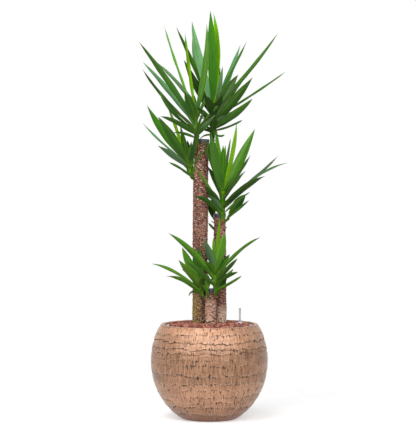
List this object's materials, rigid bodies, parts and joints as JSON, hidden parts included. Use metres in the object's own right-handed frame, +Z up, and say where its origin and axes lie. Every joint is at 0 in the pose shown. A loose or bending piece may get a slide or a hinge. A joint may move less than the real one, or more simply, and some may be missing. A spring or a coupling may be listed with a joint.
{
  "type": "potted yucca",
  "caption": "Potted yucca: bare canes of stepped heights carry rosettes of sword-shaped leaves, set in lava granules in a round bronze-glazed planter with a water gauge.",
  "frame": {"origin": "centre of the planter's flat foot, on the surface that the planter stands on", "axes": "+Z up, -Y towards the front (the side with the short cane), +X to the right (the side with the water gauge)"},
  "size_m": [0.5827, 0.4504, 1.5687],
  "materials": {
    "bronze_glaze": "gloss",
    "liner_plastic": "satin",
    "lava_granules": "matte",
    "cane_bark": "matte",
    "seal_wax": "satin",
    "green_stem": "matte",
    "yucca_leaf": "satin",
    "gauge_grey": "satin",
    "gauge_clear": "gloss",
    "rod_red": "satin"
  },
  "bodies": {
    "root": {"cane_medium": "cane_bark", "cane_short": "cane_bark", "cane_tall": "cane_bark", "gauge_cap": "gauge_grey", "gauge_collar": "gauge_grey", "gauge_float": "rod_red", "gauge_tube": "gauge_clear", "leaf_medium_crown_00": "yucca_leaf", "leaf_medium_crown_02": "yucca_leaf", "leaf_medium_crown_05": "yucca_leaf", "leaf_medium_crown_06": "yucca_leaf", "leaf_medium_crown_11": "yucca_leaf", "leaf_medium_crown_12": "yucca_leaf", "leaf_medium_crown_15": "yucca_leaf", "leaf_medium_side_02": "yucca_leaf", "leaf_short_crown_01": "yucca_leaf", "leaf_short_crown_06": "yucca_leaf", "leaf_short_crown_07": "yucca_leaf", "leaf_short_crown_10": "yucca_leaf", "leaf_short_crown_11": "yucca_leaf", "leaf_short_front_01": "yucca_leaf", "leaf_short_side_01": "yucca_leaf", "leaf_short_side_04": "yucca_leaf", "leaf_short_side_07": "yucca_leaf", "leaf_tall_crown_02": "yucca_leaf", "leaf_tall_crown_03": "yucca_leaf", "leaf_tall_crown_04": "yucca_leaf", "leaf_tall_crown_05": "yucca_leaf", "leaf_tall_crown_08": "yucca_leaf", "leaf_tall_crown_10": "yucca_leaf", "leaf_tall_crown_11": "yucca_leaf", "leaf_tall_crown_12": "yucca_leaf", "leaf_tall_crown_14": "yucca_leaf", "leaf_tall_crown_17": "yucca_leaf", "leaf_tall_left_00": "yucca_leaf", "leaf_tall_left_02": "yucca_leaf", "leaf_tall_left_03": "yucca_leaf", "leaf_tall_left_04": "yucca_leaf", "leaf_tall_left_05": "yucca_leaf", "leaf_tall_left_08": "yucca_leaf", "leaf_tall_left_12": "yucca_leaf", "leaf_tall_side_07": "yucca_leaf", "leaf_tall_side_08": "yucca_leaf", "leaf_tall_side_09": "yucca_leaf", "leaf_tall_side_11": "yucca_leaf", "liner": "liner_plastic", "planter": "bronze_glaze", "stem_medium_back": "green_stem", "stem_medium_crown": "green_stem", "stem_medium_side": "green_stem", "stem_short_crown": "green_stem", "stem_short_front": "green_stem", "stem_short_side": "green_stem", "stem_tall_crown": "green_stem", "stem_tall_left": "green_stem", "stem_tall_side": "green_stem", "substrate": "lava_granules", "wax_cap_medium": "seal_wax", "wax_cap_short": "seal_wax", "wax_cap_tall": "seal_wax"}
  },
  "joints": []
}
